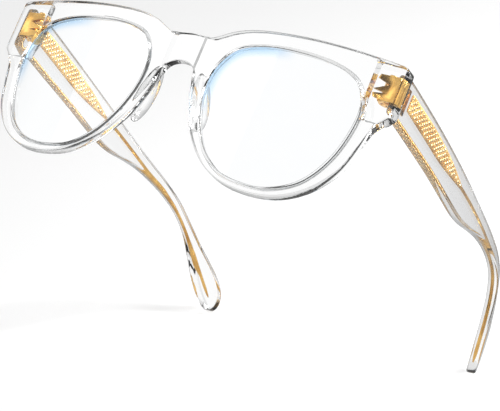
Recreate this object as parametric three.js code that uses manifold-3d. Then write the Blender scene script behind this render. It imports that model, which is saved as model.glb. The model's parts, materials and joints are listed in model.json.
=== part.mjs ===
// Clear acetate spectacles with gold wire-core temples, standing open on a table.
// Millimetres. X is across the face (+X is the wearer's left), the front looks along -Y,
// the temples run back along +Y and Z is up. The outlines are drawn in the front's own
// frame, whose origin is the level of the lens centres at the front of the bridge, and
// one group at the end tips the whole object onto its rims and temple tips.

import * as THREE from "three";
import Module from "manifold-3d";
import { mergeVertices } from "three/addons/utils/BufferGeometryUtils.js";

const wasm = await Module();
wasm.setup();

// ---- Driving dimensions ------------------------------------------------------------

const GAP = 0.3; // clearance kept between pieces that touch
const WRAP = 0.0034; // curvature of the front seen from above, 1/mm
const HALF_WIDTH = 72.6; // centre line to the side of an end piece
const RIM_DEPTH = 3.8; // thickness of the front, front to back
const END_BACK = 13.2; // depth of the flat back of an end piece
const END_LOW = 8; // lowest level that the thick end piece reaches
const END_INNER = 61; // where the end piece starts to thicken
const GROOVE_HEIGHT = 1.1; // how far the lens groove goes into the rim
const GROOVE_FRONT = 1.2; // depth of the groove's front wall behind the front surface
const GROOVE_WIDTH = 1.5;
const LENS_THICKNESS = 1.8;
const LENS_BACK_STEP = 0.45; // lens rim set back from each lens face, for the bevel

const TEMPLE_START = 13.6; // depth of the temple's front end
const TEMPLE_THICKNESS = 3.9;
const CORE_THICKNESS = 1.0;
const WIRE_WIDTH = 1.5;

const HINGE = { x: 65.0, y: 15.2, low: 15.4, high: 24.0 }; // barrel axis and its two ends
const KNUCKLES = 5;
const BARREL_R = 1.7;
const BORE_R = 0.95;
const SCREW_R = 0.62;
const SCREW_HEAD_R = 1.3;
const SCREW_HEAD_HEIGHT = 0.8;
const FRONT_LEAF_THICKNESS = 1.3;
const TEMPLE_LEAF_THICKNESS = 0.9;
const TEMPLE_LEAF_END = 19.5;

// ---- Outlines, in the front's own frame --------------------------------------------

// Half of the front's outline, from the bridge's top centre round to its underside.
const BRIDGE_TOP = [[0, 22.7], [4, 22.4], [7.4, 21.9], [9.6, 22.8], [13.4, 24.9]];
const BROW = [[13.4, 24.9], [19, 26.8], [27, 28.0], [40, 28.6], [55, 28.3], [70.7, 27.2]];
const END_PIECE = [[70.7, 27.2], [HALF_WIDTH, 26.2], [HALF_WIDTH, 10.6], [71.2, 9.0]];
const LOWER_RIM = [
  [71.2, 9.0], [67.7, 4.6], [65.8, -2.0], [62.8, -11.0], [56.6, -18.9], [48.2, -23.8], [38.2, -25.1],
  [28.0, -23.3], [19.6, -18.0], [12.6, -9.4], [8.6, -0.5], [6.0, 8.0], [4.6, 11.0], [2.4, 12.3], [0, 12.7],
];

// The visible edge of the lens opening.
const APERTURE = [
  [11.9, 4.4], [12.6, 12.6], [17.2, 19.6], [26.0, 22.6], [37.0, 23.2], [48.5, 22.2], [57.4, 18.9],
  [61.6, 12.4], [61.9, 3.6], [59.0, -7.8], [53.0, -17.0], [44.5, -21.6], [36.0, -22.3],
  [27.4, -20.4], [20.0, -14.6], [14.6, -5.6],
];

// Side view of a temple: along its lower edge to the tip, then back along its top.
const TEMPLE_LOWER = [
  [TEMPLE_START, 12.2], [30, 11.3], [50, 10.2], [66, 8.9], [75, 8.3], [83, 8.7], [91, 10.1], [99, 11.3],
  [107, 11.7], [116, 11.3], [124, 10.1], [131, 7.8], [137.5, 3.8], [143, -1.9], [148.5, -8.2],
  [154, -13.2], [158.2, -15.7], [160.6, -15.4], [161.7, -12.4],
];
const TEMPLE_TOP = [
  [161.7, -12.4], [160.9, -8.3], [157.4, -4.1], [151.5, -0.2], [145, 3.3], [137, 7.9], [128, 12.4],
  [118, 15.1], [106, 16.8], [90, 18.7], [70, 21.3], [50, 23.4], [30, 25.1], [TEMPLE_START, 26.3],
];
// Outer face of a temple seen from above, as [depth, x].
const TEMPLE_BOW = [[12, 71.0], [40, 71.5], [70, 71.4], [100, 70.4], [120, 68.3], [135, 65.0], [150, 60.2], [164, 54.6]];

// The filigree plate of the core, then the wire's centre line behind it.
const PLATE_START = 20;
const PLATE_LOWER = [[PLATE_START, 18.5], [36, 17.4], [50, 16.5], [61, 16.6], [71.5, 17.1]];
const PLATE_UPPER = [[71.5, 18.1], [61, 20.6], [52, 22.0], [41, 23.2], [PLATE_START, 24.4]];
const WIRE_PATH = [
  [72.2, 17.6], [82, 17.0], [94, 15.8], [107, 14.2], [118, 13.1], [128, 10.8], [137, 6.0], [147, -2.2], [157, -10.6],
];

// Hinge leaf that is sunk in the end piece: a spine with three dovetail prongs.
const LEAF_PRONGS = [
  [69.4, 15.4], [69.4, 24.0], [62.6, 24.0], [62.1, 22.6], [66.6, 20.9], [61.7, 18.9], [66.4, 18.0],
  [61.9, 17.6], [62.4, 16.3], [65.5, 15.4],
];

// ---- Solids ------------------------------------------------------------------------

const points = (list) => list.map(([a, b]) => new THREE.Vector2(a, b));
const frontAt = (x) => (WRAP * x * x) / 2;

// Smooth open run through a list of points, with the given number of steps between each two.
function smooth(list, steps) {
  const curve = new THREE.SplineCurve(points(list));
  return curve.getPoints((list.length - 1) * steps).map((p) => [p.x, p.y]);
}

// Smooth closed loop through a list of points.
function loop(list, count) {
  const knots = list.map(([a, b]) => new THREE.Vector3(a, b, 0));
  const curve = new THREE.CatmullRomCurve3(knots, true, "centripetal");
  return curve.getSpacedPoints(count).slice(0, -1).map((p) => [p.x, p.y]);
}

// A closed outline moved outwards by a distance along its own normals.
function offset(list, distance) {
  const turn = Math.sign(THREE.ShapeUtils.area(points(list)));
  return list.map(([a, b], i) => {
    const [pa, pb] = list[(i + list.length - 1) % list.length];
    const [na, nb] = list[(i + 1) % list.length];
    const length = Math.hypot(na - pa, nb - pb);
    return [a + (turn * distance * (nb - pb)) / length, b - (turn * distance * (na - pa)) / length];
  });
}

function toSolid(geometry) {
  const bare = geometry.clone();
  bare.deleteAttribute("normal");
  bare.deleteAttribute("uv");
  const merged = mergeVertices(bare, 1e-4);
  return new wasm.Manifold(new wasm.Mesh({
    numProp: 3,
    vertProperties: new Float32Array(merged.attributes.position.array),
    triVerts: new Uint32Array(merged.index.array),
  }));
}

function extrude(outline, depth) {
  const shape = new THREE.Shape(points(outline));
  return new THREE.ExtrudeGeometry(shape, { depth, bevelEnabled: false, steps: 1 });
}

// Outline in X and Z, pushed through from one depth to another.
function acrossFace(outline, from, to) {
  const geometry = extrude(outline, to - from);
  return toSolid(geometry.rotateX(Math.PI / 2).translate(0, to, 0));
}

// Outline in Y and Z, pushed through along X.
function alongSide(outline, from, to) {
  const turn = new THREE.Matrix4().makeBasis(
    new THREE.Vector3(0, 1, 0), new THREE.Vector3(0, 0, 1), new THREE.Vector3(1, 0, 0),
  );
  return toSolid(extrude(outline, to - from).applyMatrix4(turn).translate(from, 0, 0));
}

// Outline in X and Y, pushed through from one level to another.
function fromAbove(outline, low, high) {
  return toSolid(extrude(outline, high - low).translate(0, 0, low));
}

function block([x0, x1], [y0, y1], [z0, z1]) {
  return fromAbove([[x0, y0], [x1, y0], [x1, y1], [x0, y1]], z0, z1);
}

// Upright cylinder on the hinge axis.
function barrel(radius, low, high) {
  const geometry = new THREE.CylinderGeometry(radius, radius, high - low, 20);
  geometry.rotateX(Math.PI / 2).translate(HINGE.x, HINGE.y, (low + high) / 2);
  return toSolid(geometry);
}

// Slab that follows the wrap of the front between two depths behind its front surface.
function wrapSlab(near, far, halfWidth = 80) {
  const STEPS = 24;
  const xs = Array.from({ length: STEPS + 1 }, (_, i) => halfWidth * ((2 * i) / STEPS - 1));
  const front = xs.map((x) => [x, frontAt(x) + near]);
  const back = xs.map((x) => [x, frontAt(x) + far]).reverse();
  return fromAbove([...front, ...back], -40, 40);
}

// Slab that follows the bow of a temple, between two depths behind its outer face.
function bowSlab(outer, inner) {
  const face = smooth(TEMPLE_BOW, 3).map(([y, x]) => [x, y]);
  const near = face.map(([x, y]) => [x - outer, y]);
  const far = face.map(([x, y]) => [x - inner, y]).reverse();
  return fromAbove([...near, ...far], -40, 40);
}

// ---- Front -------------------------------------------------------------------------

function frontOutline() {
  const half = [
    ...smooth(BRIDGE_TOP, 2), ...smooth(BROW, 3).slice(1), ...END_PIECE.slice(1),
    ...smooth(LOWER_RIM, 4).slice(1),
  ];
  const mirrored = half.slice(1, -1).map(([x, z]) => [-x, z]).reverse();
  return [...half, ...mirrored];
}

const apertureLoop = (side, grow = 0) =>
  offset(loop(APERTURE, 56), grow).map(([x, z]) => [side * x, z]);

// Sides of the end pieces lean out towards the back, so the front face ends a little short.
function endBevel(side) {
  const plan = [[HALF_WIDTH - 1.8, 7], [HALF_WIDTH + 0.1, 11.2], [HALF_WIDTH + 3, 11.2], [HALF_WIDTH + 3, 7]];
  return fromAbove(plan.map(([x, y]) => [side * x, y]), -40, 40);
}

// Rectangular seat for the sunk hinge leaf, open to the back.
function leafPocket(side) {
  const [xs, zs] = [0, 1].map((i) => LEAF_PRONGS.map((point) => point[i]));
  const across = [Math.min(...xs) - GAP, Math.max(...xs) + GAP].map((x) => side * x);
  return block(
    across.sort((p, q) => p - q),
    [END_BACK - FRONT_LEAF_THICKNESS - GAP, END_BACK + 1],
    [Math.min(...zs) - GAP, Math.max(...zs) + GAP],
  );
}

function buildFront() {
  const outline = frontOutline();
  let front = acrossFace(outline, -5, 25).intersect(wrapSlab(0, RIM_DEPTH));
  const thick = acrossFace(outline, 10, END_BACK);
  const groove = wrapSlab(GROOVE_FRONT, GROOVE_FRONT + GROOVE_WIDTH);
  for (const side of [1, -1]) {
    const xs = [side * END_INNER, side * 80].sort((a, b) => a - b);
    front = front.add(thick.intersect(block(xs, [9, 20], [END_LOW, 40])));
  }
  for (const side of [1, -1]) {
    front = front
      .subtract(acrossFace(apertureLoop(side), -10, 30))
      .subtract(acrossFace(apertureLoop(side, GROOVE_HEIGHT), -10, 30).intersect(groove))
      .subtract(endBevel(side))
      .subtract(leafPocket(side));
  }
  return front;
}

// Flat lens bent to the wrap, with a thinner rim all round that sits in the groove.
function buildLens() {
  const front = GROOVE_FRONT + GROOVE_WIDTH / 2 - LENS_THICKNESS / 2;
  const back = front + LENS_THICKNESS;
  const body = acrossFace(apertureLoop(1, -GAP), -10, 30).intersect(wrapSlab(front, back));
  const rim = acrossFace(apertureLoop(1, GROOVE_HEIGHT - GAP), -10, 30)
    .intersect(wrapSlab(front + LENS_BACK_STEP, back - LENS_BACK_STEP));
  return body.add(rim);
}

// Pad bonded to the back of the rim beside the nose.
function buildNosePad() {
  const pad = new THREE.SphereGeometry(1, 18, 12);
  pad.scale(2.3, 4.6, 9.6).rotateX(0.2).rotateY(-0.2).rotateZ(-0.2).translate(9.9, 5.2, 1.0);
  return toSolid(pad).subtract(wrapSlab(-20, RIM_DEPTH + GAP));
}

// ---- Temple ------------------------------------------------------------------------

function coreOutline() {
  const lower = smooth(PLATE_LOWER, 2);
  const upper = smooth(PLATE_UPPER, 2);
  return [...lower, ...upper];
}

// Strip of constant width along a path, pointed at both ends.
function stripOutline(knots, width) {
  const path = smooth(knots, 3);
  const rail = (sign) => path.slice(1, -1).map(([y, z], i) => {
    const [py, pz] = path[i];
    const [ny, nz] = path[i + 2];
    const length = Math.hypot(ny - py, nz - pz);
    return [y + (sign * width * (nz - pz)) / length / 2, z - (sign * width * (ny - py)) / length / 2];
  });
  return [path[0], ...rail(1), path.at(-1), ...rail(-1).reverse()];
}

const coreSlab = (grow) => {
  const middle = TEMPLE_THICKNESS / 2;
  return bowSlab(middle - CORE_THICKNESS / 2 - grow, middle + CORE_THICKNESS / 2 + grow);
};

const buildCorePlate = () => alongSide(coreOutline(), 40, 80).intersect(coreSlab(0));

const buildCoreWire = () => alongSide(stripOutline(WIRE_PATH, WIRE_WIDTH), 40, 80).intersect(coreSlab(0));

// Slot for the core, open at the temple's front end and a little longer than the wire.
function coreChannel() {
  const [low, high] = [PLATE_LOWER[0][1] - GAP, PLATE_UPPER.at(-1)[1] + GAP];
  const [start, end] = [TEMPLE_START - 1, PLATE_START + 1];
  const entry = [[start, low], [end, low], [end, high], [start, high]];
  const plate = alongSide(offset(coreOutline(), GAP), 40, 80);
  const path = [[PLATE_START + 40, 18.2], ...WIRE_PATH, [158.2, -11.8]];
  const wire = alongSide(stripOutline(path, WIRE_WIDTH + 2 * GAP), 40, 80);
  return plate.add(wire).add(alongSide(entry, 40, 80)).intersect(coreSlab(GAP));
}

// x of the temple's inner face at the hinge
const innerFace = TEMPLE_BOW[0][1] + 0.03 - TEMPLE_THICKNESS;

function buildTemple() {
  const outline = [...smooth(TEMPLE_LOWER, 3), ...smooth(TEMPLE_TOP, 3).slice(1)];
  const pocket = block(
    [innerFace - 1, innerFace + TEMPLE_LEAF_THICKNESS + GAP],
    [TEMPLE_START - 1, TEMPLE_LEAF_END + GAP],
    [HINGE.low - GAP, HINGE.high + GAP],
  );
  return alongSide(outline, 40, 80)
    .intersect(bowSlab(0, TEMPLE_THICKNESS))
    .subtract(coreChannel())
    .subtract(pocket);
}

// ---- Hinge -------------------------------------------------------------------------

const knuckleHeight = (HINGE.high - HINGE.low - (KNUCKLES - 1) * GAP) / KNUCKLES;

// Levels of every second knuckle: the even ones are on the front, the odd ones on the temple.
function knuckleLevels(first) {
  const levels = [];
  for (let i = first; i < KNUCKLES; i += 2) {
    const low = HINGE.low + i * (knuckleHeight + GAP);
    levels.push([low, low + knuckleHeight]);
  }
  return levels;
}

const bore = () => barrel(BORE_R, HINGE.low - 2, HINGE.high + 2);

function buildFrontLeaf() {
  let leaf = acrossFace(LEAF_PRONGS, END_BACK - FRONT_LEAF_THICKNESS, END_BACK);
  for (const [low, high] of knuckleLevels(0)) {
    const arm = block([HINGE.x - 1.1, HINGE.x + 1.1], [END_BACK - 0.2, HINGE.y], [low, high]);
    leaf = leaf.add(arm).add(barrel(BARREL_R, low, high));
  }
  return leaf.subtract(bore());
}

function buildTempleLeaf() {
  let leaf = block(
    [innerFace, innerFace + TEMPLE_LEAF_THICKNESS],
    [TEMPLE_START + GAP, TEMPLE_LEAF_END],
    [HINGE.low, HINGE.high],
  );
  for (const [low, high] of knuckleLevels(1)) {
    const arm = block([HINGE.x, innerFace + 0.2], [HINGE.y - 0.8, HINGE.y + 0.8], [low, high]);
    leaf = leaf.add(arm).add(barrel(BARREL_R, low, high));
  }
  return leaf.subtract(bore());
}

function buildScrew() {
  const top = HINGE.high + GAP;
  return barrel(SCREW_R, HINGE.low - 0.2, top + 0.2).add(barrel(SCREW_HEAD_R, top, top + SCREW_HEAD_HEIGHT));
}

// ---- Materials ---------------------------------------------------------------------

const finish = (color, roughness, metalness, opacity = 1) => () =>
  new THREE.MeshStandardMaterial({ color, roughness, metalness, opacity, transparent: opacity < 1 });

const clearAcetate = finish(0xf4f6f6, 0.05, 0, 0.35);
const coatedLens = finish(0xdcebfa, 0.02, 0, 0.2);
const gold = finish(0xd6a552, 0.25, 1);
const satinGold = finish(0xe0b878, 0.4, 1);

// ---- Assembly ----------------------------------------------------------------------

function toMesh(name, solid, material) {
  const { numProp, vertProperties, triVerts } = solid.getMesh();
  const geometry = new THREE.BufferGeometry();
  const position = new Float32Array((vertProperties.length / numProp) * 3);
  for (let i = 0; i < position.length / 3; i += 1) {
    position.set(vertProperties.subarray(i * numProp, i * numProp + 3), i * 3);
  }
  geometry.setAttribute("position", new THREE.BufferAttribute(position, 3));
  geometry.setIndex(new THREE.BufferAttribute(triVerts, 1));
  geometry.computeVertexNormals();
  const mesh = new THREE.Mesh(geometry, material());
  mesh.name = name;
  return mesh;
}

// One side's own pieces, drawn on the +X side and mirrored for the other.
function buildSide(suffix) {
  const side = new THREE.Group();
  const pieces = [
    ["lens", buildLens(), coatedLens],
    ["nose_pad", buildNosePad(), clearAcetate],
    ["front_hinge_leaf", buildFrontLeaf(), gold],
    ["hinge_screw", buildScrew(), gold],
    ["temple", buildTemple(), clearAcetate],
    ["temple_hinge_leaf", buildTempleLeaf(), gold],
    ["core_plate", buildCorePlate(), satinGold],
    ["core_wire", buildCoreWire(), gold],
  ];
  for (const [name, solid, material] of pieces) side.add(toMesh(`${name}_${suffix}`, solid, material));
  return side;
}

// Tilt at which the rims' lower back edge and the temple tips stand at one level.
function restingTilt() {
  const rim = frontOutline().map(([x, z]) => [frontAt(x) + RIM_DEPTH, z]);
  const tip = smooth(TEMPLE_LOWER, 3);
  const lowest = (list, tilt) => Math.min(...list.map(([y, z]) => z * Math.cos(tilt) - y * Math.sin(tilt)));
  let tilt = 0;
  for (let i = 0; i < 20; i += 1) {
    const difference = lowest(tip, tilt) - lowest(rim, tilt);
    tilt += Math.asin(difference / tip.at(-1)[0]);
  }
  return tilt;
}

const spectacles = new THREE.Group();
spectacles.add(toMesh("frame_front", buildFront(), clearAcetate));
spectacles.add(buildSide("left"));
const rightSide = buildSide("right");
rightSide.scale.x = -1;
spectacles.add(rightSide);

// Stood on its rims and tips, with the origin under the middle of the whole object.
spectacles.rotation.x = -restingTilt();
const extent = new THREE.Box3().setFromObject(spectacles, true);
spectacles.position.set(0, -(extent.min.y + extent.max.y) / 2, -extent.min.z);

const group = new THREE.Group();
group.add(spectacles);

export default group;
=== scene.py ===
"""Looks of a pair of clear acetate spectacles with gold wire cores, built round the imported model."""

import json
import logging
import math
from collections.abc import Callable, Sequence
from dataclasses import dataclass, field
from enum import Enum

import bmesh
import bpy
import numpy as np
from mathutils import Matrix, Vector
from mathutils.geometry import delaunay_2d_cdt


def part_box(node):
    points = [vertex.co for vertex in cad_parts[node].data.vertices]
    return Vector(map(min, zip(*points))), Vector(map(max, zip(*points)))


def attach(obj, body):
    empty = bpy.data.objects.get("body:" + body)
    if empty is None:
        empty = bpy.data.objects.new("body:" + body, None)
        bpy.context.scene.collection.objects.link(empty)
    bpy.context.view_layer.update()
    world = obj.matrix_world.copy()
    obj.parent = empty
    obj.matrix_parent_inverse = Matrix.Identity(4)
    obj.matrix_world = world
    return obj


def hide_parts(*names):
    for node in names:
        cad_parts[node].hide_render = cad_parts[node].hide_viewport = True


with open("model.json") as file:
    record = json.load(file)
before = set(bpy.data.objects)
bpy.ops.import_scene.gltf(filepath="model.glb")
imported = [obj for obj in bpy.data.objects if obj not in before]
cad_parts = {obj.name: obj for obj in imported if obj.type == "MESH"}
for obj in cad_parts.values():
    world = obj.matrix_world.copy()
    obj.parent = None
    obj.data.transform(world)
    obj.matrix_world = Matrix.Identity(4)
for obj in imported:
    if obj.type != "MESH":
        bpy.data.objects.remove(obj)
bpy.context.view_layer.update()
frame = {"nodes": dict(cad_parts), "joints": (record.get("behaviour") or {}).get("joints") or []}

log = logging.getLogger("spectacles")

MM = 0.001
SLOW_GRAIN = 160.0
FINE_GRAIN = 2600.0
Point2 = tuple[float, float]
Point3 = tuple[float, float, float]
Loop = list[Point2]
Surface = Callable[[float, float], float]
Colour = tuple[float, float, float, float]


class Side(Enum):
    """The wearer's left, at +X, or right, at -X."""

    LEFT = 1
    RIGHT = -1

    @property
    def label(self) -> str:
        """The ending of this side's node and piece names."""
        return self.name.lower()


class Face(Enum):
    """Which face of a slab a ring of its wall is measured from."""

    NEAR = 1
    FAR = -1


# ---- Places and plane curves --------------------------------------------------------


@dataclass(frozen=True)
class Placement:
    """The front's own frame, in which the outlines are drawn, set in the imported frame."""

    turn: Matrix
    move: Vector

    @classmethod
    def from_hinge(cls, joint: dict, hinge: Vector) -> "Placement":
        """Finds the placement from a hinge.

        Args:
            joint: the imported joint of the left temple.
            hinge: the same hinge's centre in the front's own frame, in millimetres.

        Returns:
            The placement that takes the one to the other.
        """
        tilt = math.atan2(joint["axis"][1], joint["axis"][2])
        turn = Matrix.Rotation(-tilt, 3, "X")
        return cls(turn, Vector(joint["pos_m"]) - turn @ (hinge * MM))

    def place(self, x: float, y: float, z: float) -> Vector:
        """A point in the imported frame, in metres, from millimetres in the front's frame."""
        return self.turn @ (Vector((x, y, z)) * MM) + self.move


HINGE = Vector((65.0, 15.2, 19.7))
LEFT_JOINT = next(joint for joint in frame["joints"] if joint["name"] == "left_temple_fold")
PLACE = Placement.from_hinge(LEFT_JOINT, HINGE)


def spline(knots: Sequence[Point2], steps: int = 12, closed: bool = False) -> Loop:
    """A smooth run through points.

    Args:
        knots: the points it passes through.
        steps: pieces between each two of them.
        closed: whether it comes back to its start.

    Returns:
        The points of the run; a closed one doesn't repeat its first.
    """
    points = np.array(knots, float)
    count = len(points)
    result: Loop = []
    for i in range(count if closed else count - 1):
        picks = [(i + k) % count if closed else min(max(i + k, 0), count - 1) for k in (-1, 0, 1, 2)]
        before, start, end, after = points[picks]
        for t in np.arange(steps) / steps:
            bend = (2 * start + (end - before) * t + (2 * before - 5 * start + 4 * end - after) * t**2
                    + (3 * start - before - 3 * end + after) * t**3) / 2
            result.append((float(bend[0]), float(bend[1])))
    if not closed:
        result.append((float(points[-1][0]), float(points[-1][1])))
    return result


def evened(loop: Loop, spacing: float, relax: int = 0) -> Loop:
    """A closed loop with its points an even distance apart.

    Args:
        loop: the loop's points.
        spacing: about how far apart they become.
        relax: how many times each point is drawn to its neighbours, which rounds the corners.

    Returns:
        The new loop, anticlockwise.
    """
    points = np.array(loop, float)
    ends = np.roll(points, -1, axis=0)
    if np.sum(points[:, 0] * ends[:, 1] - ends[:, 0] * points[:, 1]) < 0:
        points = points[::-1]
    ring = np.vstack([points, points[:1]])
    along = np.concatenate([[0.0], np.cumsum(np.hypot(*np.diff(ring, axis=0).T))])
    stops = np.linspace(0, along[-1], max(8, round(along[-1] / spacing)), endpoint=False)
    even = np.column_stack([np.interp(stops, along, ring[:, k]) for k in (0, 1)])
    for _ in range(relax):
        even = (np.roll(even, 1, axis=0) + 2 * even + np.roll(even, -1, axis=0)) / 4
    return [(float(u), float(v)) for u, v in even]


def moved_in(loop: Loop, distance: float) -> np.ndarray:
    """A loop moved to its left-hand side, which is its inside where it is anticlockwise.

    Args:
        loop: the loop's points.
        distance: how far it is moved.

    Returns:
        The moved points, one for each of the loop's.
    """
    points = np.array(loop, float)
    run = np.roll(points, -1, axis=0) - np.roll(points, 1, axis=0)
    run /= np.linalg.norm(run, axis=1)[:, None]
    return points + distance * np.column_stack([-run[:, 1], run[:, 0]])


def is_inside(points: np.ndarray, loop: np.ndarray) -> np.ndarray:
    """Which points lie inside a closed loop.

    Args:
        points: the points that are tested.
        loop: the closed loop's points.

    Returns:
        True for each point that lies inside.
    """
    inside = np.zeros(len(points), bool)
    ends = np.roll(loop, -1, axis=0)
    for (ua, va), (ub, vb) in zip(loop, ends):
        if va == vb:
            continue
        crosses = (va > points[:, 1]) != (vb > points[:, 1])
        inside ^= crosses & (points[:, 0] < ua + (points[:, 1] - va) * (ub - ua) / (vb - va))
    return inside


def gaps(points: np.ndarray, others: np.ndarray) -> np.ndarray:
    """How far each point is from the nearest of some others."""
    return np.array([np.min(np.hypot(*(others - point).T)) for point in points])


def smoothstep(low: float, high: float, value: float) -> float:
    """0 below low, 1 above high and a smooth rise between them."""
    t = min(max((value - low) / (high - low), 0.0), 1.0)
    return t * t * (3 - 2 * t)


# ---- Solid shapes -------------------------------------------------------------------


@dataclass(frozen=True)
class Ring:
    """One ring of points round a slab's wall."""

    inset: float
    depth: float
    face: Face = Face.NEAR


def rounded_edge(radius: float, steps: int, face: Face) -> list[Ring]:
    """The rings of a slab's rounded edge.

    Args:
        radius: the rounding's radius.
        steps: the pieces of its quarter circle.
        face: the face that the edge belongs to.

    Returns:
        The rings, in the order in which a wall runs from its near face to its far face.
    """
    angles = [math.pi / 2 * i / steps for i in range(steps + 1)]
    rings = [Ring(radius * (1 - math.sin(a)), radius * (1 - math.cos(a)), face) for a in angles]
    return rings if face is Face.NEAR else rings[::-1]


@dataclass
class Slab:
    """A closed body between two faces drawn over one outline, such as a rim or a lens."""

    outer: Loop
    near: Surface
    far: Surface
    to_space: Callable[[float, float, float], Vector]
    holes: list[Loop] = field(default_factory=list)
    edge: float = 0.6
    edge_steps: int = 5
    spacing: float = 1.2
    hole_middle: tuple[Ring, ...] = ()
    profile: tuple[Ring, ...] | None = None
    seams: Loop = field(default_factory=list)
    crease: float = 40.0
    shape: Callable[[float, float, float], Point3] | None = None

    def _rings(self, middle: tuple[Ring, ...]) -> list[Ring]:
        """All rings of a wall, from its near face to its far face.

        Args:
            middle: the rings between its two rounded edges.

        Returns:
            The rings.
        """
        near = rounded_edge(self.edge, self.edge_steps, Face.NEAR)
        far = rounded_edge(self.edge, self.edge_steps, Face.FAR)
        return [*near, *middle, *far]

    def _fill(self, loops: list[np.ndarray]) -> tuple[np.ndarray, list[list[int]]]:
        """Covers the face with triangles.

        Args:
            loops: the face's border, then those of its holes.

        Returns:
            Its points, those of the loops first, and its triangles as indices of points.
        """
        outer, *holes = loops
        low, high = outer.min(axis=0), outer.max(axis=0)
        rows = np.arange(low[1], high[1], self.spacing * 0.87)
        grid = np.array([
            (u + (self.spacing / 2 if i % 2 else 0), v)
            for i, v in enumerate(rows) for u in np.arange(low[0], high[0], self.spacing)
        ])
        keep = is_inside(grid, outer)
        for hole in holes:
            keep &= ~is_inside(grid, hole)
        border = np.vstack(loops)
        grid = grid[keep & (gaps(grid, border) > self.spacing * 0.6)]
        if self.seams:
            seams = np.array(self.seams)
            seams = seams[is_inside(seams, outer) & (gaps(seams, border) > 0.25)]
            for hole in holes:
                seams = seams[~is_inside(seams, hole)]
            grid = np.vstack([grid[gaps(grid, seams) > 0.45], seams])
        points = np.vstack([border, grid])
        edges, start = [], 0
        for loop in loops:
            count = len(loop)
            edges += [(start + i, start + (i + 1) % count) for i in range(count)]
            start += count
        made = delaunay_2d_cdt([Vector(p) for p in points], edges, [], 1, 1e-6)
        places, faces, sources = made[0], made[2], made[3]
        back = [source[0] for source in sources]
        centres = np.array([np.mean([places[i] for i in face], axis=0) for face in faces])
        kept = is_inside(centres, outer)
        for hole in holes:
            kept &= ~is_inside(centres, hole)
        return points, [[back[i] for i in face] for face, ok in zip(faces, kept) if ok]

    def build(self, name: str) -> bpy.types.Object:
        """Makes the body.

        Args:
            name: the piece's name.

        Returns:
            The new object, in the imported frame.
        """
        # A hole runs clockwise, so that its left-hand side is in the material too.
        loops = [self.outer, *[hole[::-1] for hole in self.holes]]
        outer_wall = list(self.profile) if self.profile else self._rings(())
        walls = [outer_wall, *[self._rings(self.hole_middle) for _ in self.holes]]
        borders = [moved_in(loop, rings[0].inset) for loop, rings in zip(loops, walls)]
        points, triangles = self._fill(borders)
        verts: list[Vector] = []

        def add(u: float, v: float, w: float) -> int:
            """Adds a point of the body.

            Args:
                u: its first place on the face.
                v: its second place on the face.
                w: its depth.

            Returns:
                The point's index.
            """
            if self.shape:
                u, v, w = self.shape(u, v, w)
            verts.append(self.to_space(u, v, w))
            return len(verts) - 1

        near = [add(u, v, self.near(u, v)) for u, v in points]
        far = [add(u, v, self.far(u, v)) for u, v in points]
        faces = [[near[i] for i in t] for t in triangles] + [[far[i] for i in t[::-1]] for t in triangles]
        start = 0
        for loop, rings in zip(loops, walls):
            count = len(loop)
            rows = [near[start:start + count]]
            for ring in rings[1:-1]:
                row = []
                for u, v in moved_in(loop, ring.inset):
                    near_face = ring.face is Face.NEAR
                    w = self.near(u, v) + ring.depth if near_face else self.far(u, v) - ring.depth
                    row.append(add(u, v, w))
                rows.append(row)
            rows.append(far[start:start + count])
            for low, high in zip(rows, rows[1:]):
                for i in range(count):
                    j = (i + 1) % count
                    faces.append([low[i], low[j], high[j], high[i]])
            start += count
        return mesh_object(name, verts, faces, self.crease)


def mesh_object(name: str, verts: Sequence[Vector], faces: Sequence[Sequence[int]],
                crease: float = 40.0) -> bpy.types.Object:
    """Makes a smooth-shaded object whose faces point outwards.

    Args:
        name: the object's name.
        verts: its points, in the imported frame.
        faces: its faces, as indices of points.
        crease: edges bent by more than this many degrees are shaded sharp.

    Returns:
        The new object, linked to the scene.
    """
    mesh = bpy.data.meshes.new(name)
    mesh.from_pydata([tuple(v) for v in verts], [], [tuple(f) for f in faces])
    return finished_mesh(name, mesh, crease)


def finished_mesh(name: str, mesh: bpy.types.Mesh, crease: float) -> bpy.types.Object:
    """Merges doubles, turns the faces outwards, shades the mesh and links its object.

    Args:
        name: the object's name.
        mesh: its mesh, which is changed.
        crease: edges bent by more than this many degrees are shaded sharp.

    Returns:
        The new object.
    """
    work = bmesh.new()
    work.from_mesh(mesh)
    bmesh.ops.remove_doubles(work, verts=work.verts, dist=1e-7)
    bmesh.ops.recalc_face_normals(work, faces=work.faces)
    work.to_mesh(mesh)
    work.free()
    mesh.shade_smooth()
    mesh.set_sharp_from_angle(angle=math.radians(crease))
    made = bpy.data.objects.new(name, mesh)
    bpy.context.scene.collection.objects.link(made)
    return made


def baked(source: bpy.types.Object, name: str, crease: float) -> bpy.types.Object:
    """Turns an object with live modifiers into a plain one, and removes the first.

    Args:
        source: the object with the modifiers.
        name: the plain object's name.
        crease: edges bent by more than this many degrees are shaded sharp.

    Returns:
        The plain object.
    """
    depsgraph = bpy.context.evaluated_depsgraph_get()
    mesh = bpy.data.meshes.new_from_object(source.evaluated_get(depsgraph))
    bpy.data.objects.remove(source)
    return finished_mesh(name, mesh, crease)


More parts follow.
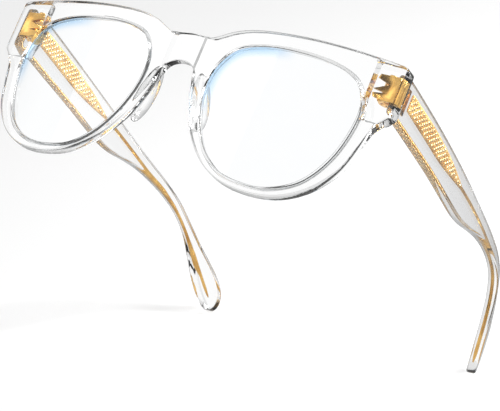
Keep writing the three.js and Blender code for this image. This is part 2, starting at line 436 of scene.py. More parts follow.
def refined(node: str, name: str, bevel: float,
            cutter: bpy.types.Object | None = None) -> bpy.types.Object:
    """A copy of a CAD node with its edges broken by a small bevel.

    Args:
        node: the CAD node that is copied.
        name: the new piece's name.
        bevel: the bevel's width, in millimetres.
        cutter: an object cut out of it first, which is then removed.

    Returns:
        The new object.
    """
    work = bmesh.new()
    work.from_mesh(frame["nodes"][node].data)
    bmesh.ops.remove_doubles(work, verts=work.verts, dist=1e-6)
    bmesh.ops.dissolve_limit(work, angle_limit=math.radians(2), verts=work.verts, edges=work.edges)
    mesh = bpy.data.meshes.new(name)
    work.to_mesh(mesh)
    work.free()
    mesh.materials.clear()
    rough = bpy.data.objects.new(name + "_rough", mesh)
    bpy.context.scene.collection.objects.link(rough)
    if cutter:
        cut = rough.modifiers.new("slot", "BOOLEAN")
        cut.object, cut.operation, cut.solver = cutter, "DIFFERENCE", "EXACT"
    edges = rough.modifiers.new("broken_edges", "BEVEL")
    edges.width, edges.segments = bevel * MM, 2
    edges.limit_method, edges.angle_limit = "ANGLE", math.radians(35)
    made = baked(rough, name, 35.0)
    if cutter:
        bpy.data.objects.remove(cutter)
    return made


def tube(name: str, path: Sequence[Vector], radii: Sequence[float], sides: int = 14) -> bpy.types.Object:
    """A closed tube along a path.

    Args:
        name: the piece's name.
        path: its centre line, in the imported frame.
        radii: its radius at each point, in metres.
        sides: the number of its sides.

    Returns:
        The new object.
    """
    verts, faces = [], []
    across = Vector((1, 0, 0))
    for i, (centre, radius) in enumerate(zip(path, radii)):
        run = (path[min(i + 1, len(path) - 1)] - path[max(i - 1, 0)]).normalized()
        across = (across - run * across.dot(run)).normalized()
        other = run.cross(across)
        for k in range(sides):
            turn = 2 * math.pi * k / sides
            verts.append(centre + (across * math.cos(turn) + other * math.sin(turn)) * radius)
    for i in range(len(path) - 1):
        for k in range(sides):
            j = (k + 1) % sides
            faces.append([i * sides + k, i * sides + j, (i + 1) * sides + j, (i + 1) * sides + k])
    faces += [list(range(sides)), list(range((len(path) - 1) * sides, len(path) * sides))]
    return mesh_object(name, verts, faces)


def dress(piece: bpy.types.Object, material: bpy.types.Material, slot: str, body: str, *nodes: str) -> None:
    """Args:
        piece: the finished object.
        material: its only material.
        slot: the record's material slot; not used.
        body: the body that it rides on.
        nodes: the CAD nodes that it stands for.
    """
    piece.data.materials.clear()
    piece.data.materials.append(material)
    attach(piece, body)
    if nodes:
        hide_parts(*nodes)
    log.info("%s: %d faces on %s", piece.name, len(piece.data.polygons), body)


# ---- Finishes -----------------------------------------------------------------------


class NodeSheet:
    """Short calls for filling a node tree."""

    def __init__(self, tree: bpy.types.NodeTree) -> None:
        """Takes the tree that is filled."""
        self.tree = tree

    def add(self, kind: str, **settings: object) -> bpy.types.Node:
        """A new node with some of its properties set.

        Args:
            kind: the node's type.
            settings: its properties' values, by name.

        Returns:
            The new node.
        """
        node = self.tree.nodes.new(kind)
        for key, value in settings.items():
            setattr(node, key, value)
        return node

    def join(self, source: bpy.types.NodeSocket, target: bpy.types.NodeSocket) -> None:
        """A link from an output to an input."""
        self.tree.links.new(source, target)


def surface_group() -> bpy.types.NodeTree:
    """The group that every finish uses for its polish: fine scratches and a slow unevenness.

    Returns:
        The group, made once. Its inputs are Scale, Smooth, Rough and Depth, and its outputs are
        Roughness, Height and Tone.
    """
    known = bpy.data.node_groups.get("hand_polish")
    if known:
        return known
    group = bpy.data.node_groups.new("hand_polish", "ShaderNodeTree")
    sheet = NodeSheet(group)
    for name, value in (("Scale", 1.0), ("Smooth", 0.02), ("Rough", 0.08), ("Depth", 0.1)):
        socket = group.interface.new_socket(name=name, in_out="INPUT", socket_type="NodeSocketFloat")
        socket.default_value = value
    for name in ("Roughness", "Height", "Tone"):
        group.interface.new_socket(name=name, in_out="OUTPUT", socket_type="NodeSocketFloat")
    entry, leave = sheet.add("NodeGroupInput"), sheet.add("NodeGroupOutput")
    coordinates = sheet.add("ShaderNodeTexCoord")
    stretched = sheet.add("ShaderNodeMapping")
    stretched.inputs["Scale"].default_value = (1.0, 0.12, 1.0)
    slow, fine = sheet.add("ShaderNodeTexNoise"), sheet.add("ShaderNodeTexNoise")
    slow_scale = sheet.add("ShaderNodeMath", operation="MULTIPLY")
    fine_scale = sheet.add("ShaderNodeMath", operation="MULTIPLY")
    slow_scale.inputs[1].default_value = SLOW_GRAIN
    fine_scale.inputs[1].default_value = FINE_GRAIN
    spread = sheet.add("ShaderNodeMapRange")
    height = sheet.add("ShaderNodeMath", operation="MULTIPLY")
    sheet.join(coordinates.outputs["Object"], stretched.inputs["Vector"])
    sheet.join(coordinates.outputs["Object"], slow.inputs["Vector"])
    sheet.join(stretched.outputs["Vector"], fine.inputs["Vector"])
    for source, noise in ((slow_scale, slow), (fine_scale, fine)):
        sheet.join(entry.outputs["Scale"], source.inputs[0])
        sheet.join(source.outputs[0], noise.inputs["Scale"])
    sheet.join(fine.outputs["Fac"], spread.inputs["Value"])
    sheet.join(entry.outputs["Smooth"], spread.inputs["To Min"])
    sheet.join(entry.outputs["Rough"], spread.inputs["To Max"])
    sheet.join(slow.outputs["Fac"], height.inputs[0])
    sheet.join(entry.outputs["Depth"], height.inputs[1])
    sheet.join(spread.outputs["Result"], leave.inputs["Roughness"])
    sheet.join(height.outputs[0], leave.inputs["Height"])
    sheet.join(slow.outputs["Fac"], leave.inputs["Tone"])
    return group


@dataclass(frozen=True)
class Finish:
    """What every finish has: a polish, and a Principled surface that it feeds."""

    name: str
    polish_scale: float = 1.0
    smooth: float = 0.0
    rough: float = 0.05
    unevenness: float = 0.1
    bump: float = 0.02

    def material(self) -> bpy.types.Material:
        """The material, made once and shared by the pieces that use it.

        Returns:
            The material.
        """
        known = bpy.data.materials.get(self.name)
        if known:
            return known
        made = bpy.data.materials.new(self.name)
        made.use_nodes = True
        made.node_tree.nodes.clear()
        sheet = NodeSheet(made.node_tree)
        shader = sheet.add("ShaderNodeBsdfPrincipled")
        polish = sheet.add("ShaderNodeGroup", node_tree=surface_group())
        for key, value in (("Scale", self.polish_scale), ("Smooth", self.smooth), ("Rough", self.rough),
                           ("Depth", self.unevenness)):
            polish.inputs[key].default_value = value
        bump = sheet.add("ShaderNodeBump")
        bump.inputs["Strength"].default_value = self.bump
        bump.inputs["Distance"].default_value = 0.1 * MM
        sheet.join(polish.outputs["Roughness"], shader.inputs["Roughness"])
        sheet.join(polish.outputs["Height"], bump.inputs["Height"])
        sheet.join(bump.outputs["Normal"], shader.inputs["Normal"])
        self.paint(sheet, shader, polish)
        return made

    def paint(self, sheet: NodeSheet, shader: bpy.types.Node, polish: bpy.types.Node) -> None:
        """Joins the shader to the output; the finishes that set a colour do it in their own version of this.
        """
        output = sheet.add("ShaderNodeOutputMaterial")
        sheet.join(shader.outputs["BSDF"], output.inputs["Surface"])


@dataclass(frozen=True)
class ClearPlastic(Finish):
    """Clear plastic that light passes through, with painted shade that darkens it where it is seen edge on.
    """

    tint: Colour = (1.0, 1.0, 1.0, 1.0)
    # Colour of the painted shade laid on where the surface is seen edge on.
    edge: Colour = (0.05, 0.055, 0.055, 1.0)
    index: float = 1.48
    shade: float = 0.38

    def paint(self, sheet: NodeSheet, shader: bpy.types.Node, polish: bpy.types.Node) -> None:
        """Glass for the eye, and a thin veil for the light that casts shadows.

        Args:
            sheet: the material's nodes.
            shader: its Principled surface.
            polish: its polish group.
        """
        shader.inputs["Transmission Weight"].default_value = 1.0
        shader.inputs["IOR"].default_value = self.index
        # Painted shade: the body colour is mixed towards the dark edge colour as the surface turns edge on.
        facing = sheet.add("ShaderNodeLayerWeight")
        facing.inputs["Blend"].default_value = 0.5
        painted_edge_shade_mask = sheet.add("ShaderNodeMapRange")
        painted_edge_shade_mask.inputs["From Min"].default_value, painted_edge_shade_mask.inputs["From Max"].default_value = 0.34, 0.8
        tone = sheet.add("ShaderNodeMix", data_type="RGBA")
        tone.inputs["B"].default_value = self.edge
        sheet.join(facing.outputs["Facing"], painted_edge_shade_mask.inputs["Value"])
        sheet.join(painted_edge_shade_mask.outputs["Result"], tone.inputs["Factor"])
        sheet.join(self.body_colour(sheet, polish), tone.inputs["A"])
        sheet.join(tone.outputs["Result"], shader.inputs["Base Color"])
        veil = sheet.add("ShaderNodeBsdfTransparent")
        veil.inputs["Color"].default_value = (self.shade, self.shade, self.shade, 1.0)
        path = sheet.add("ShaderNodeLightPath")
        mix = sheet.add("ShaderNodeMixShader")
        output = sheet.add("ShaderNodeOutputMaterial")
        sheet.join(path.outputs["Is Shadow Ray"], mix.inputs["Fac"])
        sheet.join(shader.outputs["BSDF"], mix.inputs[1])
        sheet.join(veil.outputs["BSDF"], mix.inputs[2])
        sheet.join(mix.outputs["Shader"], output.inputs["Surface"])

    def body_colour(self, sheet: NodeSheet, polish: bpy.types.Node) -> bpy.types.NodeSocket:
        """The colour of the plastic itself, which drifts a little from place to place.

        Args:
            sheet: the material's nodes.
            polish: its polish group.

        Returns:
            The socket that gives the colour.
        """
        drift = sheet.add("ShaderNodeMix", data_type="RGBA")
        drift.inputs["A"].default_value = self.tint
        drift.inputs["B"].default_value = tuple(min(1.0, c * 1.02) for c in self.tint)
        sheet.join(polish.outputs["Tone"], drift.inputs["Factor"])
        return drift.outputs["Result"]


@dataclass(frozen=True)
class CoatedLens(ClearPlastic):
    """Lens plastic with a painted blue reflection of its coating, laid on where the lens's attribute says
    so.
    """

    # Colour of the painted reflection of the blue coating.
    coating: Colour = (0.50, 0.74, 0.98, 1.0)

    def body_colour(self, sheet: NodeSheet, polish: bpy.types.Node) -> bpy.types.NodeSocket:
        """The clear body with its blue crescent, a painted reflection of the coating.

        Args:
            sheet: the material's nodes.
            polish: its polish group.

        Returns:
            The socket that gives the colour.
        """
        # The lens's attribute says where the painted reflection of the coating goes.
        painted_reflection_mask = sheet.add("ShaderNodeAttribute", attribute_name="coating")
        blend = sheet.add("ShaderNodeMix", data_type="RGBA")
        blend.inputs["B"].default_value = self.coating
        sheet.join(super().body_colour(sheet, polish), blend.inputs["A"])
        sheet.join(painted_reflection_mask.outputs["Fac"], blend.inputs["Factor"])
        return blend.outputs["Result"]


@dataclass(frozen=True)
class GoldPlate(Finish):
    """Gold-coloured plating whose colour drifts at random between a pale and a deeper gold."""

    pale: Colour = (0.86, 0.52, 0.15, 1.0)
    deep: Colour = (0.60, 0.30, 0.06, 1.0)

    def paint(self, sheet: NodeSheet, shader: bpy.types.Node, polish: bpy.types.Node) -> None:
        """Metal whose colour drifts between its two golds.

        Args:
            sheet: the material's nodes.
            shader: its Principled surface.
            polish: its polish group.
        """
        shader.inputs["Metallic"].default_value = 1.0
        ramp = sheet.add("ShaderNodeMix", data_type="RGBA")
        ramp.inputs["A"].default_value = self.deep
        ramp.inputs["B"].default_value = self.pale
        spread = sheet.add("ShaderNodeMapRange")
        spread.inputs["From Min"].default_value, spread.inputs["From Max"].default_value = 0.35, 0.6
        sheet.join(polish.outputs["Tone"], spread.inputs["Value"])
        sheet.join(spread.outputs["Result"], ramp.inputs["Factor"])
        sheet.join(ramp.outputs["Result"], shader.inputs["Base Color"])
        output = sheet.add("ShaderNodeOutputMaterial")
        sheet.join(shader.outputs["BSDF"], output.inputs["Surface"])


ACETATE = ClearPlastic("water_clear_acetate", rough=0.003, tint=(0.985, 0.99, 0.99, 1.0))
LENS = CoatedLens("coated_lens", rough=0.003, bump=0.0, tint=(0.975, 0.988, 1.0, 1.0), index=1.5, shade=0.93)
POLISHED_GOLD = GoldPlate("polished_gold", smooth=0.10, rough=0.24)
LATTICE_GOLD = GoldPlate("lattice_gold", smooth=0.34, rough=0.5, pale=(0.92, 0.58, 0.2, 1.0))
# The studs' pale cream gold is a painted highlight, lighter than the plate's gold.
STUD_GOLD_PAINTED_HIGHLIGHT = GoldPlate(
    "stud_gold", smooth=0.22, rough=0.34, pale=(1.0, 0.84, 0.52, 1.0), deep=(0.95, 0.7, 0.34, 1.0),
)


# ---- Front --------------------------------------------------------------------------


@dataclass
class Front:
    """The clear front with its bridge, end pieces, lens grooves, lenses and nose pads."""

    wrap: float = 0.0034
    half_width: float = 72.6
    rim_depth: float = 3.8
    end_back: float = 13.15
    end_inner: float = 61.0
    end_low: float = 8.0
    step: float = 0.2
    saddle_inner: float = 4.7
    saddle_outer: float = 6.3
    saddle_depth: float = 0.9
    seam_gap: float = 0.35
    spacing: float = 0.6
    groove_front: float = 1.2
    groove_back: float = 2.7
    groove_height: float = 1.1
    facet_start: float = 1.8
    facet_level: float = 7.0
    facet_lean: float = 0.45
    facet_ease: float = 0.15
    lens_overlap: float = 0.15
    lens_play: float = 0.2
    lens_land: float = 0.2
    lens_lip: float = 0.35
    # Where the painted blue reflection of the lens coating lies: its direction, its reach in from the rim
    # and its spread.
    coating_aim: Point2 = (-0.8, 0.6)
    coating_reach: Point2 = (0.3, 4.0)
    coating_spread: Point2 = (0.6, 0.95)
    pad_centre: Point3 = (9.9, 5.2, 1.0)
    pad_radii: Point3 = (2.3, 4.6, 9.6)
    pad_turn: Point3 = (0.2, -0.2, -0.2)
    pad_gap: float = 0.04
    pad_blend: float = 0.04
    bridge_top: tuple[Point2, ...] = ((0, 22.7), (4, 22.4), (7.4, 21.9), (9.6, 22.8), (13.4, 24.9))
    brow: tuple[Point2, ...] = ((13.4, 24.9), (19, 26.8), (27, 28.0), (40, 28.6), (55, 28.3), (70.7, 27.2))
    lower_rim: tuple[Point2, ...] = (
        (71.2, 9.0), (67.7, 4.6), (65.8, -2.0), (62.8, -11.0), (56.6, -18.9), (48.2, -23.8),
        (38.2, -25.1), (28.0, -23.3), (19.6, -18.0), (12.6, -9.4), (8.6, -0.5), (6.0, 8.0),
        (4.6, 11.0), (2.4, 12.3), (0, 12.7))
    aperture: tuple[Point2, ...] = (
        (11.9, 4.4), (12.6, 12.6), (17.2, 19.6), (26.0, 22.6), (37.0, 23.2), (48.5, 22.2),
        (57.4, 18.9), (61.6, 12.4), (61.9, 3.6), (59.0, -7.8), (53.0, -17.0), (44.5, -21.6),
        (36.0, -22.3), (27.4, -20.4), (20.0, -14.6), (14.6, -5.6))

    def surface(self, x: float, _z: float = 0.0) -> float:
        """Depth of the front surface at a distance from the middle."""
        return self.wrap * x * x / 2

    def face(self, x: float, _z: float = 0.0) -> float:
        """Depth of the front face, which is set back over the bridge between two facets."""
        reach = (self.saddle_outer - abs(x)) / (self.saddle_outer - self.saddle_inner)
        return self.surface(x) + self.saddle_depth * min(max(reach, 0.0), 1.0)

    def back(self, x: float, z: float) -> float:
        """Depth of the back surface, with the thick end pieces blended in.

        Args:
            x: distance from the middle.
            z: level.

        Returns:
            The depth.
        """
        rim = self.surface(x) + self.rim_depth
        thick = smoothstep(self.end_inner - self.step, self.end_inner + self.step, abs(x))
        thick *= smoothstep(self.end_low - self.step, self.end_low + self.step, z)
        return rim + (self.end_back - rim) * thick

    def step_seams(self) -> Loop:
        """Points along the edges of the end pieces' steps and the bridge's facets, which keep them crisp.

        Returns:
            The points, as distance and level.
        """
        seams: Loop = []
        gap = self.seam_gap
        for side in (-1, 1):
            for shift in (-self.step, self.step):
                upright, level = self.end_inner + shift, self.end_low + shift
                seams += [(side * upright, float(z)) for z in np.arange(level, 30.0, gap)]
                widths = np.arange(upright + gap, self.half_width, gap)
                seams += [(side * float(x), level) for x in widths]
            for edge in (self.saddle_inner, self.saddle_outer):
                seams += [(side * edge, float(z)) for z in np.arange(5.0, 26.0, gap)]
        return seams

    def outline(self) -> Loop:
        """The outline of the whole front.

        Returns:
            The closed loop, anticlockwise.
        """
        half = self.half_width
        corner = [(70.7, 27.2), (half, 26.2), (half, 10.6), (71.2, 9.0)]
        side = spline(self.bridge_top)[:-1] + spline(self.brow)[:-1] + corner[:-1] + spline(self.lower_rim)
        other = [(-x, z) for x, z in side[1:-1]][::-1]
        return evened(side + other, self.spacing, relax=2)

    def opening(self, side: Side, grow: float = 0.0) -> Loop:
        """A lens opening's visible edge, made larger by a distance.

        Args:
            side: which opening it is.
            grow: how far the edge is moved outwards.

        Returns:
            The closed loop, anticlockwise.
        """
        loop = evened(spline(self.aperture, closed=True), self.spacing, relax=1)
        grown = moved_in(loop, -grow)
        return evened([(side.value * x, z) for x, z in grown], self.spacing)

    def leaned(self, x: float, z: float, y: float) -> Point3:
        """Draws the end pieces' sides in towards the front, as their facets do.

        Args:
            x: distance from the middle.
            z: level.
            y: depth.

        Returns:
            The moved point, in the same order.
        """
        limit = self.half_width - self.facet_start + (y - self.facet_level) * self.facet_lean
        limit = min(limit, self.half_width)
        over = abs(x) - limit
        cut = 0.5 * (over + math.sqrt(over * over + self.facet_ease * self.facet_ease))
        cut = cut if over > -2.0 else 0.0
        return math.copysign(abs(x) - cut, x), z, y

    def build_frame(self) -> None:
        """Makes the acetate front."""
        mid = (self.groove_front + self.groove_back) / 2
        groove = (
            Ring(0.0, self.groove_front), Ring(self.groove_height, mid - 0.3),
            Ring(self.groove_height, mid + 0.3), Ring(0.0, self.groove_back),
        )
        slab = Slab(
            outer=self.outline(), near=self.face, far=self.back,
            to_space=lambda x, z, y: PLACE.place(x, y, z),
            holes=[self.opening(side) for side in Side], hole_middle=groove, shape=self.leaned, spacing=0.8,
            seams=self.step_seams(), crease=22.0,
        )
        piece = slab.build("clear_front")
        dress(piece, ACETATE.material(), "clear_acetate", "front", "frame_front")

    def build_lens(self, side: Side) -> None:
        """Makes a lens whose bevelled edge sits in the groove.

        Args:
            side: which lens it is.
        """
        near, far = self.groove_front - self.lens_overlap, self.groove_back + self.lens_overlap
        mid, land, lip, bevel = (far - near) / 2, self.lens_land, self.lens_lip, self.groove_height
        profile = (
            Ring(bevel, 0.0), Ring(bevel, lip), Ring(0.0, mid - land), Ring(0.0, mid + land),
            Ring(bevel, 2 * mid - lip), Ring(bevel, 0.0, Face.FAR),
        )
        slab = Slab(
            outer=self.opening(side, bevel - self.lens_play), near=lambda x, z: self.surface(x) + near,
            far=lambda x, z: self.surface(x) + far, to_space=lambda x, z, y: PLACE.place(x, y, z),
            spacing=1.0, profile=profile,
        )
        piece = slab.build(f"coated_lens_{side.label}")
        self.mark_coating(piece, side)
        dress(piece, LENS.material(), "lens", "front", f"lens_{side.label}")

    def mark_coating(self, piece: bpy.types.Object, side: Side) -> None:
        """Paints the blue reflection of the coating, as an attribute: a crescent along the upper edge,
        towards -X on both lenses alike.

        Args:
            piece: the lens, already made.
            side: which lens it is.
        """
        rim = np.array(self.opening(side))
        middle = rim.mean(axis=0)
        aim = Vector(self.coating_aim)
        # A painted reflection: the crescent is fixed on the lens and does not move with the viewer.
        shine = piece.data.attributes.new("coating", "FLOAT", "POINT")
        for i, vertex in enumerate(piece.data.vertices):
            spot = PLACE.turn.transposed() @ (vertex.co - PLACE.move) / MM
            away = float(np.min(np.hypot(rim[:, 0] - spot.x, rim[:, 1] - spot.z)))
            lean = Vector((spot.x - middle[0], spot.z - middle[1])).normalized()
            near_rim = 1 - smoothstep(*self.coating_reach, away)
            shine.data[i].value = near_rim * smoothstep(*self.coating_spread, lean.dot(aim))

    def build_pad(self, side: Side) -> None:
        """Makes a nose pad: an egg cut off flat against the back of the rim.

        Args:
            side: which pad it is.
        """
        rows, columns = 28, 40
        roll, yaw, swing = self.pad_turn
        turn = Matrix.Rotation(swing, 3, "Z") @ Matrix.Rotation(yaw, 3, "Y") @ Matrix.Rotation(roll, 3, "X")
        centre = Vector(self.pad_centre)
        wide, deep, tall = self.pad_radii
        verts, faces = [], []
        for i in range(rows + 1):
            for k in range(columns):
                polar, around = math.pi * i / rows, 2 * math.pi * k / columns
                ball = Vector((wide * math.sin(polar) * math.cos(around),
                               deep * math.sin(polar) * math.sin(around), tall * math.cos(polar)))
                x, y, z = turn @ ball + centre
                seat = self.surface(x) + self.rim_depth + self.pad_gap
                y = seat + 0.5 * ((y - seat) + math.sqrt((y - seat) ** 2 + self.pad_blend))
                verts.append(PLACE.place(side.value * x, y, z))
        for i in range(rows):
            for k in range(columns):
                j = (k + 1) % columns
                low, high = i * columns, (i + 1) * columns
                faces.append([low + k, low + j, high + j, high + k])
        piece = mesh_object(f"nose_pad_{side.label}_clear", verts, faces)
        dress(piece, ACETATE.material(), "clear_acetate", "front", f"nose_pad_{side.label}")

    def build(self) -> None:
        """Makes the front and all that is fixed to it but the hinges."""
        self.build_frame()
        for side in Side:
            self.build_lens(side)
            self.build_pad(side)


# ---- Temples ------------------------------------------------------------------------


@dataclass
class Temple:
    """One clear temple with its gold core."""

    side: Side
    thickness: float = 3.85
    core_thickness: float = 1.0
    wire_radius: float = 0.62
    core_drop: float = 1.0
    lower: tuple[Point2, ...] = (
        (13.6, 12.2), (30, 11.3), (50, 10.2), (66, 8.9), (75, 8.3), (83, 8.7), (91, 10.1),
        (99, 11.3), (107, 11.7), (116, 11.3), (124, 10.1), (131, 7.8), (137.5, 3.8), (143, -1.9),
        (148.5, -8.2), (154, -13.2), (158.2, -15.7), (160.6, -15.4), (161.7, -12.4))
    top: tuple[Point2, ...] = (
        (161.7, -12.4), (160.9, -8.3), (157.4, -4.1), (151.5, -0.2), (145, 3.3), (137, 7.9),
        (128, 12.4), (118, 15.1), (106, 16.8), (90, 18.7), (70, 21.3), (50, 23.4), (30, 25.1),
        (13.6, 26.3))
    bow: tuple[Point2, ...] = (
        (12, 71.0), (40, 71.5), (70, 71.4), (100, 70.4), (120, 68.3), (135, 65.0), (150, 60.2), (164, 54.6))
    plate_lower: tuple[Point2, ...] = ((20, 18.5), (36, 17.4), (50, 16.5), (61, 16.6), (71.5, 17.1))
    plate_upper: tuple[Point2, ...] = ((71.5, 18.1), (61, 20.6), (52, 22.0), (41, 23.2), (20, 24.4))
    wire: tuple[Point2, ...] = (
        (70.6, 17.6), (72.2, 17.6), (82, 17.0), (94, 15.8), (107, 14.2), (118, 13.1), (128, 10.8),
        (137, 6.0), (147, -2.2), (157, -10.6))

    def __post_init__(self) -> None:
        """Works out the bow's fine points once."""
        self.bow_points = np.array(spline(self.bow, 16))

    @property
    def body(self) -> str:
        """The body that the temple is."""
        return f"{self.side.label}_temple"

    def outer_face(self, y: float) -> float:
        """Distance of the temple's outer face from the middle, at a depth."""
        return float(np.interp(y, self.bow_points[:, 0], self.bow_points[:, 1]))

    def to_space(self, y: float, z: float, inward: float) -> Vector:
        """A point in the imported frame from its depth, level and distance inward of the outer face."""
        return PLACE.place(self.side.value * (self.outer_face(y) - inward), y, z)

    def build_arm(self) -> None:
        """Makes the acetate arm."""
        outline = evened(spline(self.lower)[:-1] + spline(self.top), 0.7, relax=5)
        slab = Slab(
            outer=outline, near=lambda y, z: 0.0, far=lambda y, z: self.thickness,
            to_space=self.to_space, edge=0.95, edge_steps=6, spacing=1.4,
        )
        piece = slab.build(f"clear_temple_{self.side.label}")
        dress(piece, ACETATE.material(), "clear_acetate", self.body, f"temple_{self.side.label}")

    def plate_outline(self) -> Loop:
        """The outline of the core's plate."""
        loop = evened(spline(self.plate_lower) + spline(self.plate_upper), 0.5, relax=1)
        return [(y, z - self.core_drop) for y, z in loop]

    def build_plate(self) -> bpy.types.Object:
        """Makes the core's flat plate.

        Returns:
            The plate, onto which the studs are cast.
        """
        start = (self.thickness - self.core_thickness) / 2
        slab = Slab(
            outer=self.plate_outline(), near=lambda y, z: start,
            far=lambda y, z: start + self.core_thickness,
            to_space=self.to_space, edge=0.12, edge_steps=2, spacing=1.0,
        )
        piece = slab.build(f"gold_plate_{self.side.label}")
        dress(piece, LATTICE_GOLD.material(), "satin_gold", self.body, f"core_plate_{self.side.label}")
        return piece

    def build_wire(self) -> None:
        """Makes the wire that runs on from the plate's point to the tip."""
        middle = self.thickness / 2
        run = spline(self.wire, 8)
        path = [self.to_space(y, z - self.core_drop, middle) for y, z in run]
        last = len(path) - 1
        radii = [self.wire_radius * MM * min(1.0, 0.35 + 0.25 * min(i, last - i)) for i in range(len(path))]
        piece = tube(f"gold_wire_{self.side.label}", path, radii)
        dress(piece, POLISHED_GOLD.material(), "gold", self.body, f"core_wire_{self.side.label}")

    def build(self) -> None:
        """Makes the arm and its core."""
        self.build_arm()
        plate = self.build_plate()
        self.build_wire()
        Lattice(self, plate).build()


@dataclass
class Lattice:
    """The raised diamonds on both faces of a core's plate, made with Geometry Nodes."""

    temple: Temple
    plate: bpy.types.Object
    pitch: float = 2.3
    rise: float = 0.16
    size: float = 0.68
    start: float = 21.2
    length: float = 52.0
    border: float = 0.8
    squeeze: float = 0.86
    cast_from: float = 2.0

    @staticmethod
    def tree() -> bpy.types.NodeTree:
        """The node tree, made once: a stud on each point, once the point is cast onto the plate.

        Returns:
            The tree.
        """
        known = bpy.data.node_groups.get("diamond_lattice")
        if known:
            return known
        tree = bpy.data.node_groups.new("diamond_lattice", "GeometryNodeTree")
        inputs = (
            ("Geometry", "Geometry"), ("Plate", "Object"), ("Stud Size", "Float"), ("Stud Rise", "Float"),
            ("Reach", "Float"), ("Direction", "Vector"), ("Finish", "Material"),
        )
        for name, kind in inputs:
            tree.interface.new_socket(name=name, in_out="INPUT", socket_type=f"NodeSocket{kind}")
        tree.interface.new_socket(name="Geometry", in_out="OUTPUT", socket_type="NodeSocketGeometry")
        sheet = NodeSheet(tree)
        entry, leave = sheet.add("NodeGroupInput"), sheet.add("NodeGroupOutput")
        plate = sheet.add("GeometryNodeObjectInfo", transform_space="ORIGINAL")
        cast = sheet.add("GeometryNodeRaycast")
        points = sheet.add("GeometryNodeMeshToPoints")
        hold = sheet.add("GeometryNodeCaptureAttribute", domain="POINT")
        hold.capture_items.new("BOOLEAN", "Hit")
        hold.capture_items.new("VECTOR", "Facing")
        put = sheet.add("GeometryNodeSetPosition")
        missed = sheet.add("FunctionNodeBooleanMath", operation="NOT")
        drop = sheet.add("GeometryNodeDeleteGeometry", domain="POINT")
        stud = sheet.add("GeometryNodeMeshCone")
        stud.inputs["Vertices"].default_value = 4
        stud.inputs["Radius Top"].default_value = 0.0
        align = sheet.add("FunctionNodeAlignRotationToVector", axis="Z")
        place = sheet.add("GeometryNodeInstanceOnPoints")
        real = sheet.add("GeometryNodeRealizeInstances")
        paint = sheet.add("GeometryNodeSetMaterial")
        links = (
            (entry, "Plate", plate, "Object"), (plate, "Geometry", cast, "Target Geometry"),
            (entry, "Direction", cast, "Ray Direction"), (entry, "Reach", cast, "Ray Length"),
            (entry, "Geometry", points, "Mesh"), (points, "Points", hold, "Geometry"),
            (cast, "Is Hit", hold, "Hit"), (cast, "Hit Normal", hold, "Facing"),
            (hold, "Geometry", put, "Geometry"), (cast, "Is Hit", put, "Selection"),
            (cast, "Hit Position", put, "Position"), (put, "Geometry", drop, "Geometry"),
            (hold, "Hit", missed, 0), (missed, "Boolean", drop, "Selection"),
            (entry, "Stud Size", stud, "Radius Bottom"), (entry, "Stud Rise", stud, "Depth"),
            (hold, "Facing", align, "Vector"), (drop, "Geometry", place, "Points"),
            (stud, "Mesh", place, "Instance"), (align, "Rotation", place, "Rotation"),
            (place, "Instances", real, "Geometry"), (real, "Geometry", paint, "Geometry"),
            (entry, "Finish", paint, "Material"), (paint, "Geometry", leave, "Geometry"),
        )
        for source, output, target, entrance in links:
            sheet.join(source.outputs[output], target.inputs[entrance])
        return tree

    def grid(self, from_outside: bool) -> bpy.types.Object:
        """The staggered points that are cast onto one face of the plate, as a mesh of points.

        Args:
            from_outside: whether it is the plate's outer face.

        Returns:
            The object that holds the points.
        """
        edge = moved_in(self.temple.plate_outline(), self.border)
        depth = -self.cast_from if from_outside else self.temple.thickness + self.cast_from
        verts = []
        rows = int(self.length / (self.pitch / 2))
        for i in range(rows + 1):
            y = self.start + i * self.pitch / 2
            middle = self.centre_line(y)
            for k in range(-3, 4):
                offset = (k + (0.5 if i % 2 else 0.0)) * self.pitch * self.squeeze
                spot = (y, middle + offset)
                if is_inside(np.array([spot]), edge)[0]:
                    verts.append(self.temple.to_space(*spot, depth))
        mesh = bpy.data.meshes.new("lattice_points")
        mesh.from_pydata([tuple(v) for v in verts], [], [])
        made = bpy.data.objects.new("lattice_points", mesh)
        bpy.context.scene.collection.objects.link(made)
        return made

    def centre_line(self, y: float) -> float:
        """Level of the middle of the plate at a depth.

        Args:
            y: the depth.

        Returns:
            The level.
        """
        lower, upper = np.array(self.temple.plate_lower), np.array(self.temple.plate_upper)[::-1]
        middle = (np.interp(y, lower[:, 0], lower[:, 1]) + np.interp(y, upper[:, 0], upper[:, 1])) / 2
        return float(middle) - self.temple.core_drop

    def build(self) -> None:
        """Makes the studs of both faces as one piece."""
        side = self.temple.side
        halves = []
        for from_outside in (True, False):
            source = self.grid(from_outside)
            modifier = source.modifiers.new("lattice", "NODES")
            modifier.node_group = self.tree()
            inward = -side.value if from_outside else side.value
            values = {
                "Plate": self.plate, "Stud Size": self.size * MM, "Stud Rise": self.rise * MM,
                "Reach": 6.0 * MM, "Direction": (float(inward), 0.0, 0.0), "Finish": STUD_GOLD_PAINTED_HIGHLIGHT.material(),
            }
            for item in modifier.node_group.interface.items_tree:
                if item.item_type == "SOCKET" and item.in_out == "INPUT" and item.name in values:
                    modifier[item.identifier] = values[item.name]
            halves.append(baked(source, f"lattice_half_{from_outside}", 10.0))
        work = bmesh.new()
        for half in halves:
            work.from_mesh(half.data)
            bpy.data.objects.remove(half)
        mesh = bpy.data.meshes.new("lattice")
        work.to_mesh(mesh)
        work.free()
        piece = finished_mesh(f"gold_lattice_{side.label}", mesh, 10.0)
        # The studs carry the pale gold with the painted highlight.
        dress(piece, STUD_GOLD_PAINTED_HIGHLIGHT.material(), "satin_gold", self.temple.body)


# ---- Hinges -------------------------------------------------------------------------


